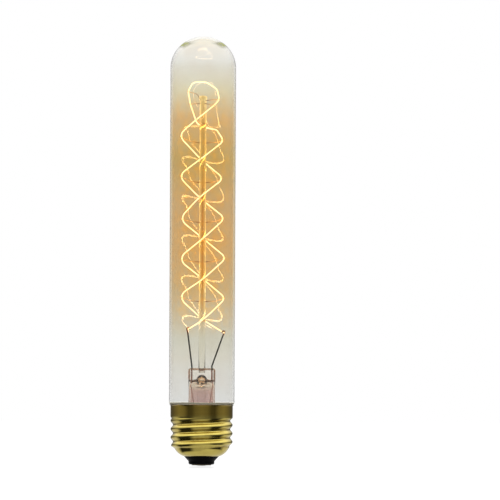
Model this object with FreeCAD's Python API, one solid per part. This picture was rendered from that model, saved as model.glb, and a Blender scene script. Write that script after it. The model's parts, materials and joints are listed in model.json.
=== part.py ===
import FreeCAD, Part
import math
import os

# A tubular filament lamp with a screw cap, upright, with the cap at the bottom.
# Millimetres. +Z runs along the lamp from cap to dome, and -Y faces the front.
# The origin is the lowest point of the centre contact, on the lamp's axis.

Vector = FreeCAD.Vector
UP = Vector(0, 0, 1)
ORIGIN = Vector(0, 0, 0)

# Glass bulb
overall_length = 185.0
bulb_diameter = 28.3
bulb_wall = 0.9
dome_height = 13.6
shoulder_radius = 1.0
neck_bend_radius = 3.0
neck_depth = 8.5  # from the cap's rim down to the seal with the stem
mouth_gap = 0.37  # between the glass and the cap's rim

# Screw cap
shell_wall = 0.25
thread_major_diameter = 26.3
thread_depth = 1.05
thread_pitch = 3.629
thread_turns = 3.86
thread_phase_height = 3.06  # how far above its bottom the thread crosses the right side
thread_fade = 1.4
sections_per_turn = 14
points_around = 36
joining_tolerance = 0.0001
thread_rise = 3.333  # from the shell's bottom to where the thread starts
bottom_round = 6.5
collar_height = 4.5
collar_step = 0.05
lip_height = 0.6
rim_setback = 0.35  # from the glass tube's width in to the rim's
neck_gap = 1.05

# Insulator and centre contact
solder_height = 0.25
contact_thickness = 0.3
contact_radius = 4.2
contact_edge = 0.15
insulator_height = 3.45
insulator_foot_radius = 5.6
insulator_foot_height = 1.4
insulator_edge = 0.75
insulator_inside = 3.0
insulator_hole_radius = 7.5  # where the shell's round ends
eyelet_radius = 1.3
eyelet_wall = 0.25
eyelet_height = 1.8
solder_radius = 2.6
fit_gap = 0.02

# Stem
stem_wall = 0.9
stem_tube_radius = 5.66
flare_height = 12.6
stem_rim_width = 1.2
stem_round_height = 14.6  # from the seal up to where the tube starts to flatten
flattening_height = 5.5
cavity_end_gap = 1.7  # solid glass above the hollow, inside the flattened length
press_height = 4.0
press_width = 11.7
press_thickness = 3.8
press_corner = 1.2
press_edge = 0.9  # the rounding along the top of the press's two flats
blow_hole_radius = 1.2
blow_bulge_radius = 2.3
exhaust_radius = 2.0
exhaust_wall = 0.8
exhaust_tip_height = 10.0

# Rod
rod_radius = 1.45
rod_socket = 2.0
button_radius = 1.8
button_height = 1.7
button_above_top_level = 3.35

# Leads
lead_radius = 0.33
lead_half_gap = 4.3
lead_socket = 1.0
lead_knees = {-1: 0.7, 1: 0.9}  # how far above the press the left and right leads bend outwards
lead_bend = 0.9
lead_hook_run = 1.4  # the stretch before its hook
seal_wire_radius = 0.3
outer_lead_radius = 0.175
outer_lead_gap = 1.25  # from the exhaust tube to the outer leads
outer_lead_sweep = 6.0  # their bends in the flare
outer_lead_bend = 2.0  # and those below it
lead_below_tip = 2.4  # how far under the exhaust tip the centre lead reaches the axis
lead_below_flare = 2.3  # how far under the flare's rim the side lead passes
side_wire_drop = 0.95  # how far below the collar's top the side lead comes out
side_wire_rise = 1.0  # above the thread, where the side lead lies against the collar
side_wire_bend = 0.3
solder_blob_radius = 1.2
solder_blob_rise = 0.6

# Filament and its anchors
filament_radius = 0.25
filament_clearance = 4.15  # from the glass to the helix
level_count = 6
lowest_level_rise = 28.7  # above the press
top_level_drop = 28.85  # below the dome's top
top_anchor_rises = {"left": 1.5, "right": 1.2}  # where the top anchors leave the rod
loop_drawn_radius = 9.1  # the helix radius to which the top loop's corners belong
anchor_radius = 0.125
anchor_socket = 0.55
anchor_straight_share = 0.55
anchor_bend = 0.8
hook_gap = 0.03
hook_turn = 200.0
filament_tail = 0.6
left_bend = 7.0
right_bend = 4.5
crossing_bend = 6.0

# Where the filament was bent by hand, from the top level down: how far each
# hook lies outside the helix, and how far the wire rises above its level.
left_hooks = [(-0.3, 3.1), (-0.1, 2.9), (-0.7, 1.3), (0.0, 1.2), (0.0, 2.2)]
right_hooks = [(-1.1, 1.0), (-1.1, 1.9), (-0.4, 1.9), (0.2, 1.9), (0.0, 1.6)]
# The same for the crossings in front of the rod and behind it: sideways, and up.
crossings = [(-2.97, 1.65), (-0.95, 1.6), (-1.52, 2.2), (0.21, 1.6), (0.3, 1.15), (0.38, 0.6)]
# The filament's two ends: sideways from the helix, and above the press.
left_end = (-3.13, 16.8)
right_end = (0.06, 15.5)

# Heights and radii that follow from these
contact_bottom = solder_height
insulator_bottom = contact_bottom + contact_thickness
shell_bottom = insulator_bottom + insulator_height
round_centre_height = shell_bottom + bottom_round
crest_radius = thread_major_diameter / 2
root_radius = crest_radius - thread_depth
round_centre_radius = root_radius - bottom_round
thread_bottom = shell_bottom + thread_rise
thread_top = thread_bottom + thread_turns * thread_pitch
collar_radius = crest_radius + collar_step
collar_top = thread_top + collar_height
rim_height = collar_top + lip_height
rim_radius = bulb_diameter / 2 - rim_setback
root_inner_radius = root_radius - shell_wall
neck_radius = root_inner_radius - neck_gap

bulb_radius = bulb_diameter / 2
mouth_radius = rim_radius - shell_wall - mouth_gap
dome_bottom = overall_length - dome_height
shoulder_above_rim = math.sqrt(
    shoulder_radius**2 - (shoulder_radius - max(bulb_radius - mouth_radius, 0)) ** 2
)
shoulder_top = rim_height + shoulder_above_rim
shoulder_angle = math.acos(1 - (bulb_radius - neck_radius) / (shoulder_radius + neck_bend_radius))
neck_top = shoulder_top - (shoulder_radius + neck_bend_radius) * math.sin(shoulder_angle)
seal_height = rim_height - neck_depth

flattening_bottom = seal_height + stem_round_height
press_bottom = flattening_bottom + flattening_height
press_top = press_bottom + press_height
cavity_top = press_bottom - cavity_end_gap
blow_hole_height = cavity_top + blow_hole_radius / 2
rod_bottom = press_top - rod_socket

helix_radius = bulb_radius - bulb_wall - filament_clearance
top_level = overall_length - top_level_drop
lowest_level = press_top + lowest_level_rise
level_spacing = (top_level - lowest_level) / (level_count - 1)
button_top = top_level + button_above_top_level
side_wire_height = collar_top - side_wire_drop
side_wire_radius = (neck_radius + root_inner_radius) / 2
side_wire_collar_radius = collar_radius - shell_wall - 2 * outer_lead_radius


# Helpers for outlines, solids and bent wires


def line(start, end):
    return Part.LineSegment(start, end).toShape()


def polyline(points):
    return [line(a, b) for a, b in zip(points, points[1:])]


def quarter_ellipse(start, corner, end):
    """A quarter of an ellipse from start to end, tangent to the lines that meet at corner."""
    curve = Part.BezierCurve()
    curve.setPoles([start, corner, end])
    curve.setWeight(2, math.sqrt(0.5))
    return curve.toShape()


def arc_about(centre, radius, start_angle, end_angle):
    """An arc in the XZ plane. Angles are in degrees from +X towards +Z."""
    points = []
    for angle in (start_angle, (start_angle + end_angle) / 2, end_angle):
        turn = math.radians(angle)
        points.append(centre + Vector(radius * math.cos(turn), 0, radius * math.sin(turn)))
    return Part.Arc(*points).toShape()


def turned(edges):
    """The solid of revolution of a closed outline in the XZ plane about the lamp's axis."""
    face = Part.Face(Part.Wire(Part.sortEdges(edges)[0]))
    return face.revolve(ORIGIN, UP, 360)


def disc(radius, bottom, top):
    return Part.makeCylinder(radius, top - bottom, Vector(0, 0, bottom))


class Bend:
    """A corner of a bent wire: its arc, with the arc's middle point and direction there."""

    def __init__(self, before, corner, after, radius):
        incoming = (corner - before).normalize()
        outgoing = (after - corner).normalize()
        half_turn = incoming.getAngle(outgoing) / 2
        run = radius * math.tan(half_turn)
        inward = (outgoing - incoming).normalize()
        self.start = corner - incoming * run
        self.end = corner + outgoing * run
        self.middle = corner + inward * (radius / math.cos(half_turn) - radius)
        self.direction = (incoming + outgoing).normalize()

    def edge(self):
        return Part.Arc(self.start, self.middle, self.end).toShape()


def bends_of(corners, radii):
    return [Bend(*corners[i : i + 3], radii[i]) for i in range(len(corners) - 2)]


def bent_path(corners, radii):
    """Edges along the corners: straight runs joined by tangent arcs."""
    edges = []
    place = corners[0]
    for bend in bends_of(corners, radii):
        edges += [line(place, bend.start), bend.edge()]
        place = bend.end
    return edges + [line(place, corners[-1])]


def wire_solid(edges, radius):
    """A round wire along edges that follow each other."""
    path = Part.Wire(edges)
    start = edges[0].valueAt(edges[0].FirstParameter)
    direction = edges[0].tangentAt(edges[0].FirstParameter)
    section = Part.Wire(Part.makeCircle(radius, start, direction))
    return path.makePipeShell([section], True, False)


def hook_edges(points, aim, last_run, eye, along, wire_radius, radii):
    """The path of a wire through points that ends in a hook round the filament.

    The filament passes through eye in the direction along. The wire's last run comes
    from the side of aim, square to the filament, and passes below it.
    """
    offset = filament_radius + hook_gap + wire_radius
    run = eye - aim
    outward = (run - along * run.dot(along)).normalize()
    below = along.cross(outward).normalize()
    if below.z > 0:
        below = -below
    hook_start = eye + below * offset

    def on_hook(angle):
        turn = math.radians(angle)
        return eye + (below * math.cos(turn) + outward * math.sin(turn)) * offset

    path = bent_path(points + [hook_start - outward * last_run, hook_start], radii)
    path.append(Part.Arc(hook_start, on_hook(hook_turn / 2), on_hook(hook_turn)).toShape())
    return path


# Glass bulb


def bulb_profile(inset):
    """The bulb's outline from the seal to the dome, moved inwards by the wall for the inside."""
    radius = bulb_radius - inset
    neck = neck_radius - inset
    turn = math.degrees(shoulder_angle)
    neck_centre = Vector(neck_radius + neck_bend_radius, 0, neck_top)
    shoulder_centre = Vector(bulb_radius - shoulder_radius, 0, shoulder_top)
    dome_start = Vector(radius, 0, dome_bottom)
    top = Vector(0, 0, overall_length - inset)
    edges = polyline([Vector(0, 0, seal_height), Vector(neck, 0, seal_height), Vector(neck, 0, neck_top)])
    edges.append(arc_about(neck_centre, neck_bend_radius + inset, 180, 180 - turn))
    edges.append(arc_about(shoulder_centre, shoulder_radius - inset, -turn, 0))
    edges.append(line(Vector(radius, 0, shoulder_top), dome_start))
    edges.append(quarter_ellipse(dome_start, Vector(radius, 0, top.z), top))
    edges.append(line(top, Vector(0, 0, seal_height)))
    return edges


def bulb_outside():
    return turned(bulb_profile(0))


def glass_envelope():
    return bulb_outside().cut(turned(bulb_profile(bulb_wall)))


# Screw cap


def smooth_step(share):
    share = min(max(share, 0), 1)
    return share * share * (3 - 2 * share)


def base_radius(height, inset):
    """The shell's radius without its thread: the bottom's round, then the thread's root."""
    rise = round_centre_height - height
    if rise <= 0:
        return root_radius - inset
    return round_centre_radius + math.sqrt((bottom_round - inset) ** 2 - rise**2)


def thread_section(height, inset):
    """Points of one level section of the rolled thread.

    The thread is a round section whose centre circles the axis as it climbs. The
    circling fades out at both ends, so the thread runs out into plain brass.
    """
    below = smooth_step((height - thread_bottom) / thread_fade)
    above = smooth_step((thread_top - height) / thread_fade)
    swing = thread_depth / 2 * min(below, above)
    if above < 1:
        radius = collar_radius - inset - (collar_step + thread_depth / 2) * above
    else:
        radius = base_radius(height, inset) + thread_depth / 2 * below
    turn = 2 * math.pi * (height - thread_bottom - thread_phase_height) / thread_pitch
    centre = Vector(swing * math.cos(turn), swing * math.sin(turn), height)
    points = []
    for step in range(points_around + 1):
        place = math.pi / 2 + 2 * math.pi * step / points_around
        points.append(centre + Vector(math.cos(place), math.sin(place), 0) * radius)
    return points


def thread_face(inset):
    """One side of the rolled thread, a single smooth surface."""
    count = round(thread_turns * sections_per_turn)
    step = (thread_top - thread_bottom) / count
    surface = Part.BSplineSurface()
    surface.interpolate([thread_section(thread_bottom + step * i, inset) for i in range(count + 1)])
    return surface.toShape()


def bottom_curve(inset, top):
    """The outline of the cap's rounded bottom, from the insulator's hole up to a height."""
    centre = Vector(round_centre_radius, 0, round_centre_height)
    radius = bottom_round - inset
    start = math.degrees(math.acos((insulator_hole_radius - round_centre_radius) / radius))
    turn = math.degrees(math.asin((round_centre_height - top) / radius))
    return arc_about(centre, radius, -start, -turn)


def flare_curve(inset):
    """The outline of the rim, which flares out around the glass."""
    radius = collar_radius - inset
    curve = Part.BezierCurve()
    curve.setPoles(
        [
            Vector(radius, 0, collar_top),
            Vector(radius, 0, collar_top + lip_height / 2),
            Vector(rim_radius - inset, 0, rim_height),
        ]
    )
    return curve.toShape()


def turned_from_behind(edges):
    """A solid of revolution whose seam lies behind, in line with the thread's."""
    return turned(edges).rotated(ORIGIN, UP, 90)


def shell_bottom_ring():
    """The rounded bottom below the thread, with the hole that holds the insulator."""
    outside, inside = (bottom_curve(inset, thread_bottom) for inset in (0, shell_wall))
    edge = line(outside.valueAt(outside.FirstParameter), inside.valueAt(inside.FirstParameter))
    top = line(outside.valueAt(outside.LastParameter), inside.valueAt(inside.LastParameter))
    return turned_from_behind([edge, outside, inside, top])


def collar_ring():
    """The plain collar above the thread, with its flared rim."""
    edges = [line(Vector(rim_radius, 0, rim_height), Vector(rim_radius - shell_wall, 0, rim_height))]
    for inset in (0, shell_wall):
        radius = collar_radius - inset
        edges.append(line(Vector(radius, 0, thread_top), Vector(radius, 0, collar_top)))
        edges.append(flare_curve(inset))
    outer_start = Vector(collar_radius, 0, thread_top)
    inner_start = Vector(collar_radius - shell_wall, 0, thread_top)
    return turned_from_behind(edges + [line(outer_start, inner_start)])


def collar_outside():
    """The collar and its rim, filled to the axis."""
    bottom = Vector(collar_radius, 0, thread_top)
    top = [Vector(rim_radius, 0, rim_height), Vector(0, 0, rim_height), Vector(0, 0, thread_top), bottom]
    return turned([line(bottom, Vector(collar_radius, 0, collar_top)), flare_curve(0)] + polyline(top))


def end_loops(face):
    """The closed edges of a round face, from the bottom up, as wires."""
    loops = [edge for edge in face.Edges if edge.isClosed()]
    return [Part.Wire([edge]) for edge in sorted(loops, key=lambda edge: edge.CenterOfMass.z)]


def thread_sleeve():
    """The threaded part of the shell, brass on both sides between two level ends."""
    outside, inside = thread_face(0), thread_face(shell_wall)
    faces = [outside, inside.reversed()]
    for outer, inner in zip(end_loops(outside), end_loops(inside)):
        faces.append(Part.Face([outer, inner.reversed()]))
    sleeve = Part.makeSolid(Part.Shell(faces))
    sleeve.fix(joining_tolerance, joining_tolerance, joining_tolerance)
    return sleeve


def side_wire_hole():
    return Part.makeCylinder(
        outer_lead_radius, 2 * collar_radius, Vector(0, 0, side_wire_height), Vector(0, 1, 0)
    )


def screw_shell():
    """The rolled shell: the thread, joined to the turned ends."""
    shell = thread_sleeve().fuse([shell_bottom_ring(), collar_ring()], joining_tolerance)
    return shell.cut(side_wire_hole())


def basing_cement():
    ring = disc(collar_radius - shell_wall, thread_top + lip_height / 2, collar_top)
    return ring.cut([bulb_outside(), outer_lead_side()])


def insulator():
    """The glass button: a foot below the shell, and a body that fills the shell's round."""
    foot_top = insulator_bottom + insulator_foot_height
    body_top = shell_bottom + insulator_inside
    side = bottom_curve(shell_wall + fit_gap, body_top)
    side_start = side.valueAt(side.FirstParameter)
    side_end = side.valueAt(side.LastParameter)
    hole = insulator_hole_radius - fit_gap
    edge_centre = Vector(insulator_foot_radius - insulator_edge, 0, insulator_bottom + insulator_edge)
    foot = [
        Vector(insulator_foot_radius, 0, edge_centre.z),
        Vector(insulator_foot_radius, 0, foot_top),
        Vector(hole, 0, shell_bottom),
        Vector(hole, 0, side_start.z),
        side_start,
    ]
    close = [
        side_end,
        Vector(eyelet_radius, 0, body_top),
        Vector(eyelet_radius, 0, insulator_bottom),
        Vector(edge_centre.x, 0, insulator_bottom),
    ]
    edge = arc_about(edge_centre, insulator_edge, -90, 0)
    return turned(polyline(foot) + [side] + polyline(close) + [edge])


def centre_contact():
    plate = disc(contact_radius, contact_bottom, insulator_bottom)
    plate = plate.makeFillet(contact_edge, [plate.Edges[2]])
    eyelet = disc(eyelet_radius, insulator_bottom, insulator_bottom + eyelet_height)
    bore = disc(eyelet_radius - eyelet_wall, contact_bottom, insulator_bottom + eyelet_height)
    return plate.fuse(eyelet).cut(bore).removeSplitter()


def contact_solder():
    """A shallow dome under the plate, with the plug that fills the eyelet."""
    sphere_radius = (solder_radius**2 + solder_height**2) / (2 * solder_height)
    sphere = Part.makeSphere(sphere_radius, Vector(0, 0, sphere_radius))
    dome = sphere.common(disc(solder_radius * 2, 0, contact_bottom))
    plug = disc(eyelet_radius - eyelet_wall, contact_bottom, insulator_bottom + eyelet_height)
    return dome.fuse(plug).cut(outer_lead_centre()).removeSplitter()


def side_solder():
    reach = collar_radius + solder_blob_rise - solder_blob_radius
    ball = Part.makeSphere(solder_blob_radius, Vector(0, reach, side_wire_height))
    return ball.cut([collar_outside(), outer_lead_side()])


# Stem


def round_wire(radius, height):
    """A circle in four arcs that pair with the four edges of flattened_wire."""

    def place(angle):
        turn = math.radians(angle)
        return Vector(radius * math.cos(turn), radius * math.sin(turn), height)

    arcs = []
    for start in (225, 315, 45, 135):
        arcs.append(Part.Arc(place(start), place(start + 45), place(start + 90)).toShape())
    return Part.Wire(arcs)


def flattened_wire(width, thickness, height):
    """A flattened tube's section: two flats joined by half rounds."""
    flat = (width - thickness) / 2
    half = thickness / 2
    front_left = Vector(-flat, -half, height)
    front_right = Vector(flat, -half, height)
    back_right = Vector(flat, half, height)
    back_left = Vector(-flat, half, height)
    return Part.Wire(
        [
            line(front_left, front_right),
            Part.Arc(front_right, Vector(width / 2, 0, height), back_right).toShape(),
            line(back_right, back_left),
            Part.Arc(back_left, Vector(-width / 2, 0, height), front_left).toShape(),
        ]
    )


def flare_body(tube_radius, rim_inner_radius, bottom):
    """The trumpet from the rim up to the round tube, filled to the axis."""
    top = bottom + flare_height
    start = Vector(rim_inner_radius, 0, bottom)
    end = Vector(tube_radius, 0, top)
    curve = quarter_ellipse(start, Vector(tube_radius, 0, bottom), end)
    return turned(
        [curve]
        + polyline(
            [
                end,
                Vector(tube_radius, 0, flattening_bottom),
                Vector(0, 0, flattening_bottom),
                Vector(0, 0, bottom),
                start,
            ]
        )
    )


def press_body():
    """The flattened end of the stem, with its top corners rounded."""
    base = Part.Face(flattened_wire(press_width, press_thickness, press_bottom))
    block = base.extrude(Vector(0, 0, press_height))
    corner = Vector(-press_width / 2, -press_thickness / 2, press_bottom)
    front = Part.makeBox(press_width, press_thickness, press_height, corner)
    top_edges = [
        edge
        for edge in front.Edges
        if abs(edge.CenterOfMass.z - press_top) < 1e-6 and abs(edge.CenterOfMass.x) > press_width / 4
    ]
    rounded = block.common(front.makeFillet(press_corner, top_edges))
    side = Part.makeBox(press_width, press_thickness, press_height, corner)
    long_edges = [
        edge
        for edge in side.Edges
        if abs(edge.CenterOfMass.z - press_top) < 1e-6 and abs(edge.CenterOfMass.x) < 1e-6
    ]
    return rounded.common(side.makeFillet(press_edge, long_edges))


def stem_outside():
    rim = disc(neck_radius, seal_height - stem_wall, seal_height)
    flare = flare_body(stem_tube_radius, neck_radius - stem_rim_width, seal_height)
    flattening = Part.makeLoft(
        [
            round_wire(stem_tube_radius, flattening_bottom),
            flattened_wire(press_width, press_thickness, press_bottom),
        ],
        True,
    )
    bulge = Part.makeSphere(
        blow_bulge_radius, Vector(0, (blow_bulge_radius - press_thickness) / 2, blow_hole_height)
    )
    return rim.fuse([flare, flattening, press_body(), bulge])


def stem_hollow():
    """The inside of the flare and tube, up to the solid press."""
    bottom = seal_height - stem_wall
    inner = stem_tube_radius - stem_wall
    flare = flare_body(inner, neck_radius - stem_wall, bottom)
    top = flattened_wire(2 * inner, 2 * (exhaust_radius + stem_wall / 6), cavity_top)
    flattening = Part.makeLoft([round_wire(inner, flattening_bottom), top], True)
    return flare.fuse(flattening)


def blow_hole():
    """The way from the exhaust tube's bore out through the front of the press."""
    bore = exhaust_radius - exhaust_wall
    up = Part.makeCylinder(bore, blow_hole_height - cavity_top, Vector(0, 0, cavity_top))
    turn = Part.makeSphere(blow_hole_radius, Vector(0, 0, blow_hole_height))
    out = Part.makeCylinder(
        blow_hole_radius, stem_tube_radius, Vector(0, 0, blow_hole_height), Vector(0, -1, 0)
    )
    return up.fuse([turn, out])


def stem_glass():
    embedded = [seal_wire(side) for side in (-1, 1)]
    embedded += [inner_lead(side) for side in (-1, 1)]
    embedded.append(disc(rod_radius, rod_bottom, press_top))
    return stem_outside().cut([stem_hollow(), blow_hole()] + embedded).removeSplitter()


def exhaust_tube():
    """A tube that was melted shut at its lower end."""
    bore = exhaust_radius - exhaust_wall
    tip = exhaust_tip_height
    outside_start = Vector(exhaust_radius, 0, tip + 2 * exhaust_radius)
    inside_start = Vector(bore, 0, tip + 2 * exhaust_radius)
    inside_tip = Vector(0, 0, tip + exhaust_wall)
    return turned(
        [
            quarter_ellipse(outside_start, Vector(exhaust_radius, 0, tip), Vector(0, 0, tip)),
            line(Vector(0, 0, tip), inside_tip),
            quarter_ellipse(inside_tip, Vector(bore, 0, inside_tip.z), inside_start),
        ]
        + polyline(
            [
                inside_start,
                Vector(bore, 0, cavity_top),
                Vector(exhaust_radius, 0, cavity_top),
                outside_start,
            ]
        )
    )


def arbor_rod():
    """The rod with the button that its end was melted into, and sockets for the anchors."""
    rod = disc(rod_radius, rod_bottom, button_top)
    button = disc(button_radius, button_top - button_height, button_top)
    button = button.makeFillet(button_height / 3, [button.Edges[0], button.Edges[2]])
    return rod.fuse(button).cut(list(anchors().values())).removeSplitter()


# Filament


def level_height(level):
    """Levels are numbered from the top, starting at 1."""
    return top_level - (level - 1) * level_spacing


def hook_corner(side, level):
    """The filament's corner at a side hook. side is -1 on the left and 1 on the right."""
    outside, rise = (left_hooks if side < 0 else right_hooks)[level - 2]
    bend = left_bend if side < 0 else right_bend
    radius = helix_radius + outside + bend * bend_overrun
    name = ("support_left_" if side < 0 else "support_right_") + str(level)
    return name, Vector(side * radius, 0, level_height(level) + rise), bend


def crossing_corner(side, level):
    """The corner at a crossing below a level. side is -1 in front and 1 behind."""
    sideways, rise = crossings[level - 1]
    radius = helix_radius + crossing_bend * bend_overrun
    height = level_height(level) - level_spacing / 2 + rise
    name = ("support_front_" if side < 0 else "support_back_") + str(level)
    return name, Vector(sideways, side * radius, height), crossing_bend


def quarter_turn_overrun():
    """How far a corner of the helix lies outside its arc, for an arc of radius 1."""
    rise = level_spacing / 2
    run = Vector(helix_radius, helix_radius, rise)
    next_run = Vector(-helix_radius, helix_radius, rise)
    return 1 / math.cos(run.getAngle(next_run) / 2) - 1


bend_overrun = quarter_turn_overrun()


def top_loop():
    """The loop over the rod, from the crossing behind it to the crossing in front.

    Each corner is given sideways, towards the back and above the top level, with its
    bend's radius. Those with an anchor's name are held by it.
    """
    share = helix_radius / loop_drawn_radius
    shape = [
        ("loop_rise", 5.9, 4.6, -11.3, 3.0),
        ("support_back_1", 1.0, 8.6, -10.4, 3.5),
        ("loop_turn_up", -2.7, 6.4, -8.6, 3.5),
        ("support_left_1", -5.6, 2.8, -0.2, 5.0),
        ("support_top_left", -6.5, 1.2, 5.2, 3.0),
        ("loop_top_left", -4.5, 0.3, 9.1, 2.6),
        ("loop_top_right", 1.3, -0.3, 9.2, 3.5),
        ("loop_shoulder", 5.9, -1.4, 6.2, 2.6),
        ("support_top_right", 7.0, -2.4, 1.7, 2.6),
        ("support_right_1", 4.6, -4.3, -0.9, 4.0),
        ("support_front_1", -2.8, -8.8, -7.0, 5.0),
        ("loop_fall", -7.3, -4.9, -10.9, 4.0),
    ]
    return [
        (name, Vector(x * share, y * share, top_level + z), radius)
        for name, x, y, z, radius in shape
    ]


def filament_route():
    """Names, corners and bend radii of the filament, from its left end to its right end."""
    left = Vector(-(helix_radius + left_end[0]), 0, press_top + left_end[1])
    right = Vector(helix_radius + right_end[0], 0, press_top + right_end[1])
    route = [("left_end", left, 0)]
    for level in range(level_count, 1, -1):
        side = 1 if level % 2 == 0 else -1
        route += [crossing_corner(-side, level), hook_corner(side, level)]
    route += top_loop()
    for level in range(2, level_count + 1):
        side = -1 if level % 2 == 0 else 1
        route += [hook_corner(side, level), crossing_corner(-side, level)]
    route.append(("right_end", right, 0))
    return [list(column) for column in zip(*route)]


def end_run(corners, first, second):
    """An end of the filament, carried past its lead by the tail."""
    outward = (corners[first] - corners[second]).normalize()
    return corners[first] + outward * filament_tail, outward


def filament():
    names, corners, radii = filament_route()
    corners[0] = end_run(corners, 0, 1)[0]
    corners[-1] = end_run(corners, -1, -2)[0]
    return wire_solid(bent_path(corners, radii[1:-1]), filament_radius)


def anchor_root_heights():
    """The height at which each anchor leaves the rod, by the anchor's name."""
    roots = {"support_top_" + side: top_level + rise for side, rise in top_anchor_rises.items()}
    for level in range(1, level_count + 1):
        for side in ("left", "right"):
            roots["support_%s_%d" % (side, level)] = level_height(level)
        for side in ("front", "back"):
            roots["support_%s_%d" % (side, level)] = level_height(level) - level_spacing / 2
    return roots


def anchor(root_height, bend):
    """A wire that leaves the rod level, rises to the filament and hooks round it."""
    eye = bend.middle
    outward = Vector(eye.x, eye.y, 0)
    reach = outward.Length
    outward.normalize()
    root = outward * (rod_radius - anchor_socket) + Vector(0, 0, root_height)
    turn = outward * (rod_radius + (reach - rod_radius) * anchor_straight_share)
    turn += Vector(0, 0, root_height)
    last_run = (eye - turn).Length
    path = hook_edges([root], turn, last_run, eye, bend.direction, anchor_radius, [anchor_bend])
    return wire_solid(path, anchor_radius)


def anchors():
    names, corners, radii = filament_route()
    bends = dict(zip(names[1:-1], bends_of(corners, radii[1:-1])))
    return {name: anchor(height, bends[name]) for name, height in anchor_root_heights().items()}


# Leads


def inner_lead(side):
    """The stiff lead from the press to one end of the filament. side is -1 on the left."""
    names, corners, radii = filament_route()
    first, second = (0, 1) if side < 0 else (-1, -2)
    along = end_run(corners, first, second)[1]
    foot = Vector(side * lead_half_gap, 0, press_top - lead_socket)
    knee = Vector(side * lead_half_gap, 0, press_top + lead_knees[side])
    eye = corners[first]
    radii = [lead_bend, lead_hook_run / 2]
    path = hook_edges([foot, knee], knee, lead_hook_run, eye, along, lead_radius, radii)
    return wire_solid(path, lead_radius)


def seal_wire(side):
    height = press_top - lead_socket - cavity_top
    return Part.makeCylinder(seal_wire_radius, height, Vector(side * lead_half_gap, 0, cavity_top))


def outer_lead_centre():
    """From the left seal wire down the flare, past the exhaust tip, into the eyelet."""
    beside_tip = -(exhaust_radius + outer_lead_gap + outer_lead_radius)
    corners = [
        Vector(-lead_half_gap, 0, cavity_top),
        Vector(-lead_half_gap, 0, flattening_bottom),
        Vector(beside_tip, 0, rim_height),
        Vector(beside_tip, 0, exhaust_tip_height + lead_below_tip),
        Vector(0, 0, exhaust_tip_height - lead_below_tip),
        Vector(0, 0, contact_bottom + solder_height / 2),
    ]
    radii = [outer_lead_sweep] * 2 + [outer_lead_bend] * 2
    return wire_solid(bent_path(corners, radii), outer_lead_radius)


def outer_lead_side():
    """From the right seal wire down the flare, under its rim, and out through the shell."""
    beside_tube = exhaust_radius + outer_lead_gap + outer_lead_radius
    below_rim = seal_height - lead_below_flare
    corners = [
        Vector(lead_half_gap, 0, cavity_top),
        Vector(lead_half_gap, 0, flattening_bottom),
        Vector(beside_tube, 0, rim_height),
        Vector(beside_tube, 0, seal_height),
        Vector(beside_tube, side_wire_radius / 2, below_rim),
        Vector(0, side_wire_radius, below_rim),
        Vector(0, side_wire_radius, thread_top - thread_fade),
        Vector(0, side_wire_collar_radius, thread_top + side_wire_rise),
        Vector(0, side_wire_collar_radius, side_wire_height),
        Vector(0, collar_radius + solder_blob_rise / 2, side_wire_height),
    ]
    radii = [outer_lead_sweep] * 2 + [outer_lead_bend] * 2 + [outer_lead_bend / 2] * 3
    return wire_solid(bent_path(corners, radii + [side_wire_bend]), outer_lead_radius)


# The whole lamp


def lamp():
    nodes = {
        "glass_envelope": glass_envelope(),
        "screw_shell": screw_shell(),
        "basing_cement": basing_cement(),
        "insulator": insulator(),
        "centre_contact": centre_contact(),
        "contact_solder": contact_solder(),
        "side_solder": side_solder(),
        "stem_glass": stem_glass(),
        "exhaust_tube": exhaust_tube(),
        "arbor_rod": arbor_rod(),
        "filament": filament(),
        "inner_lead_left": inner_lead(-1),
        "inner_lead_right": inner_lead(1),
        "seal_wire_left": seal_wire(-1),
        "seal_wire_right": seal_wire(1),
        "outer_lead_centre": outer_lead_centre(),
        "outer_lead_side": outer_lead_side(),
    }
    return nodes | anchors()


os.makedirs("parts", exist_ok=True)
for name, shape in lamp().items():
    shape.exportStep("parts/" + name + ".step")
    print(name, len(shape.Solids), shape.isValid(), round(shape.Volume, 2))
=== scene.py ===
# %% [markdown]
# This lesson dresses a long tubular filament bulb with a screw cap.
# The construction model gives every piece its true size and place, and this file
# gives each one its finish, its light and a camera. Clear glass and polished brass show every
# facet, so six pieces are made again here, in the same form with a smoother mesh.

# %% Load the construction model
import json
import math

import bpy
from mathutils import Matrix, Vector


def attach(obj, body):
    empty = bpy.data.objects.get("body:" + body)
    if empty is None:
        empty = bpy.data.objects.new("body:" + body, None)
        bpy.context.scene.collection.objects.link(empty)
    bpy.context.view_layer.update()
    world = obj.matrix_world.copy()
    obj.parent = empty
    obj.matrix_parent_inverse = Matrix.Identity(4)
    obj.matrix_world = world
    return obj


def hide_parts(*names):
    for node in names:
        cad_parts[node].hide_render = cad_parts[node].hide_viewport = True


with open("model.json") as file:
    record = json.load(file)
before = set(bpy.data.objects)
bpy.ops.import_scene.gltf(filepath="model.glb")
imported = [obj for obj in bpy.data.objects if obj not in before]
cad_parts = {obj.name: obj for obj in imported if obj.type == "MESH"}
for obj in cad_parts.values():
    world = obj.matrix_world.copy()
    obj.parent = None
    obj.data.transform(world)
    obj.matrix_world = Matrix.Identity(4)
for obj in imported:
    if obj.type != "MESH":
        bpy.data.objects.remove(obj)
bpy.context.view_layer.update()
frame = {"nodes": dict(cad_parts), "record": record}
nodes = frame["nodes"]
bpy.ops.object.select_all(action="DESELECT")
bpy.context.scene.view_settings.view_transform = "Standard"
MM = 0.001
print("nodes:", len(nodes))

# %% [markdown]
# The photograph was taken with a long lens, level with the middle of the bulb.
# A small slice of the sensor is used, so the camera stands far away and lines stay parallel.
# An orthographic camera would come close, but this one keeps the slight perspective of a real
# picture. It is rolled by a fraction of a degree, as the photograph is.

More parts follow.
